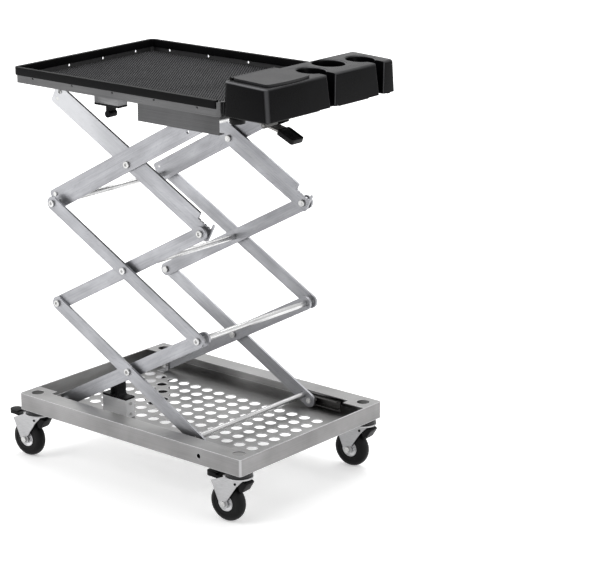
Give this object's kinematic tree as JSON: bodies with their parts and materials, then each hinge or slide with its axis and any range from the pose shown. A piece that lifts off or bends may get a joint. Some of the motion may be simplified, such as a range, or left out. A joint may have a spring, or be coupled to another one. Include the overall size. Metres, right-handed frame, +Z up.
{
  "type": "grooming table",
  "caption": "Rolling grooming table: perforated steel base pan on braked casters, stacked scissor-lift bars with a release lever, a rubber-matted tray and a side tool holder with a lid.",
  "frame": {"origin": "on the floor, under the middle of the bounding box", "axes": "+X along the long side towards the holder, +Y across the table away from the catch side, +Z up"},
  "size_m": [0.7058, 0.432, 0.8598],
  "materials": {
    "pan_steel": "brushed stainless sheet",
    "rail_steel": "satin zinc-plated sheet",
    "lug_steel": "satin zinc-plated sheet",
    "fastener": "bright zinc",
    "rod_steel": "bright drawn bar",
    "block_alu": "satin",
    "bar_alu": "satin, slightly mottled",
    "hub_alu": "turned and bright",
    "tray_steel": "brushed stainless sheet",
    "lever_steel": "satin",
    "fork_zinc": "bright zinc",
    "caster_black": "black satin",
    "pedal_black": "black matt",
    "catch_black": "black matt",
    "tyre": "black rubber",
    "bush_white": "white matt",
    "trim_rubber": "black satin rubber",
    "mat_rubber": "black studded rubber",
    "holder_black": "black satin plastic",
    "lid_black": "dark grey satin plastic",
    "bracket_black": "black powder coat",
    "knob_black": "black matt",
    "grip_rubber": "black satin rubber"
  },
  "bodies": {
    "base": {"base_pan": "pan_steel", "base_rails": "rail_steel", "base_lugs": "lug_steel", "base_lug_bolts": "fastener", "catch_riser": "block_alu", "catch_clip": "catch_black", "catch_screws": "fastener", "caster_heads": "caster_black", "kingpins": "fastener"},
    "arm_f": {"arms_f": "bar_alu", "rod_right": "rod_steel"},
    "arm_e": {"arms_e": "bar_alu", "axle_bottom": "rod_steel", "bushes_bottom": "bush_white", "bolts_e": "fastener"},
    "arm_c": {"arms_c": "bar_alu", "rod_left": "rod_steel"},
    "arm_d": {"arms_d": "bar_alu", "rod_mid": "rod_steel"},
    "arm_b": {"arms_b": "bar_alu", "axle_top": "rod_steel", "bushes_top": "bush_white", "rivets_b": "fastener"},
    "arm_a": {"arms_a": "bar_alu", "bolts_a": "fastener"},
    "tray": {"tray_pan": "tray_steel", "tray_trim": "trim_rubber", "tray_mat": "mat_rubber", "tray_rails": "rail_steel", "tray_lugs": "lug_steel", "tray_lug_bolts": "fastener", "striker_block": "block_alu", "striker": "catch_black", "holder_shell": "holder_black", "holder_bracket": "bracket_black", "holder_knobs": "knob_black", "lever_bracket": "rail_steel"},
    "lid": {"holder_lid": "lid_black"},
    "lever": {"lever_bar": "lever_steel", "lever_grip": "grip_rubber"},
    "fork_fl": {"fork_fl": "fork_zinc", "axle_fl": "fastener"},
    "pedal_fl": {"pedal_fl": "pedal_black"},
    "wheel_fl": {"tyre_fl": "tyre", "hub_fl": "hub_alu"},
    "fork_fr": {"fork_fr": "fork_zinc", "axle_fr": "fastener"},
    "pedal_fr": {"pedal_fr": "pedal_black"},
    "wheel_fr": {"tyre_fr": "tyre", "hub_fr": "hub_alu"},
    "fork_bl": {"fork_bl": "fork_zinc", "axle_bl": "fastener"},
    "pedal_bl": {"pedal_bl": "pedal_black"},
    "wheel_bl": {"tyre_bl": "tyre", "hub_bl": "hub_alu"},
    "fork_br": {"fork_br": "fork_zinc", "axle_br": "fastener"},
    "pedal_br": {"pedal_br": "pedal_black"},
    "wheel_br": {"tyre_br": "tyre", "hub_br": "hub_alu"}
  },
  "joints": [
    {"name": "lift", "type": "hinge", "parent": "base", "child": "arm_f", "pos_m": [-0.23711, 0, 0.124], "axis": [0, -1, 0], "range_deg": [-25.27, 0]},
    {"name": "pivot_c", "type": "hinge", "parent": "arm_f", "child": "arm_c", "pos_m": [0.14993, 0, 0.33327], "axis": [0, -1, 0], "range_deg": [0, 50.56]},
    {"name": "pivot_e", "type": "hinge", "parent": "arm_f", "child": "arm_e", "pos_m": [-0.04359, 0, 0.22864], "axis": [0, -1, 0], "range_deg": [0, 50.56]},
    {"name": "pivot_d", "type": "hinge", "parent": "arm_c", "child": "arm_d", "pos_m": [-0.04359, 0, 0.43791], "axis": [0, -1, 0], "range_deg": [-50.56, 0]},
    {"name": "pivot_b", "type": "hinge", "parent": "arm_c", "child": "arm_b", "pos_m": [-0.23711, 0, 0.54255], "axis": [0, -1, 0], "range_deg": [-50.56, 0]},
    {"name": "pivot_a", "type": "hinge", "parent": "arm_b", "child": "arm_a", "pos_m": [-0.04359, 0, 0.64719], "axis": [0, -1, 0], "range_deg": [0, 50.56]},
    {"name": "tray_pivot", "type": "hinge", "parent": "arm_a", "child": "tray", "pos_m": [-0.23711, 0, 0.75182], "axis": [0, -1, 0], "range_deg": [-25.28, 0]},
    {"name": "lid_hinge", "type": "hinge", "parent": "tray", "child": "lid", "pos_m": [0.25389, -0.122, 0.85682], "axis": [0, -1, 0], "range_deg": [0, 105]},
    {"name": "lever_pivot", "type": "hinge", "parent": "tray", "child": "lever", "pos_m": [0.18923, 0, 0.7325], "axis": [0, -1, 0], "range_deg": [0, 15], "stiffness_Nm_per_rad": 0.8, "springref_deg": -28.65},
    {"name": "swivel_fl", "type": "hinge", "parent": "base", "child": "fork_fl", "pos_m": [-0.28011, -0.189, 0.0937], "axis": [0, 0, 1], "continuous": true},
    {"name": "wheel_fl", "type": "hinge", "parent": "fork_fl", "child": "wheel_fl", "pos_m": [-0.30601, -0.19127, 0.038], "axis": [-0.0872, 0.9962, 0], "continuous": true},
    {"name": "brake_fl", "type": "hinge", "parent": "fork_fl", "child": "pedal_fl", "pos_m": [-0.27812, -0.18883, 0.0837], "axis": [0.0872, -0.9962, 0], "range_deg": [0, 10]},
    {"name": "swivel_fr", "type": "hinge", "parent": "base", "child": "fork_fr", "pos_m": [0.26789, -0.189, 0.0937], "axis": [0, 0, 1], "continuous": true},
    {"name": "wheel_fr", "type": "hinge", "parent": "fork_fr", "child": "wheel_fr", "pos_m": [0.24199, -0.19127, 0.038], "axis": [-0.0872, 0.9962, 0], "continuous": true},
    {"name": "brake_fr", "type": "hinge", "parent": "fork_fr", "child": "pedal_fr", "pos_m": [0.26988, -0.18883, 0.0837], "axis": [0.0872, -0.9962, 0], "range_deg": [0, 10]},
    {"name": "swivel_bl", "type": "hinge", "parent": "base", "child": "fork_bl", "pos_m": [-0.28011, 0.189, 0.0937], "axis": [0, 0, 1], "continuous": true},
    {"name": "wheel_bl", "type": "hinge", "parent": "fork_bl", "child": "wheel_bl", "pos_m": [-0.30601, 0.18673, 0.038], "axis": [-0.0872, 0.9962, 0], "continuous": true},
    {"name": "brake_bl", "type": "hinge", "parent": "fork_bl", "child": "pedal_bl", "pos_m": [-0.27812, 0.18917, 0.0837], "axis": [0.0872, -0.9962, 0], "range_deg": [0, 10]},
    {"name": "swivel_br", "type": "hinge", "parent": "base", "child": "fork_br", "pos_m": [0.26789, 0.189, 0.0937], "axis": [0, 0, 1], "continuous": true},
    {"name": "wheel_br", "type": "hinge", "parent": "fork_br", "child": "wheel_br", "pos_m": [0.24199, 0.18673, 0.038], "axis": [-0.0872, 0.9962, 0], "continuous": true},
    {"name": "brake_br", "type": "hinge", "parent": "fork_br", "child": "pedal_br", "pos_m": [0.26988, 0.18917, 0.0837], "axis": [0.0872, -0.9962, 0], "range_deg": [0, 10]}
  ],
  "couplings": [
    {"joint": "pivot_c", "follows": "lift", "ratio": -2},
    {"joint": "pivot_e", "follows": "lift", "ratio": -2},
    {"joint": "pivot_d", "follows": "lift", "ratio": 2},
    {"joint": "pivot_b", "follows": "lift", "ratio": 2},
    {"joint": "pivot_a", "follows": "lift", "ratio": -2},
    {"joint": "tray_pivot", "follows": "lift", "ratio": 1}
  ]
}
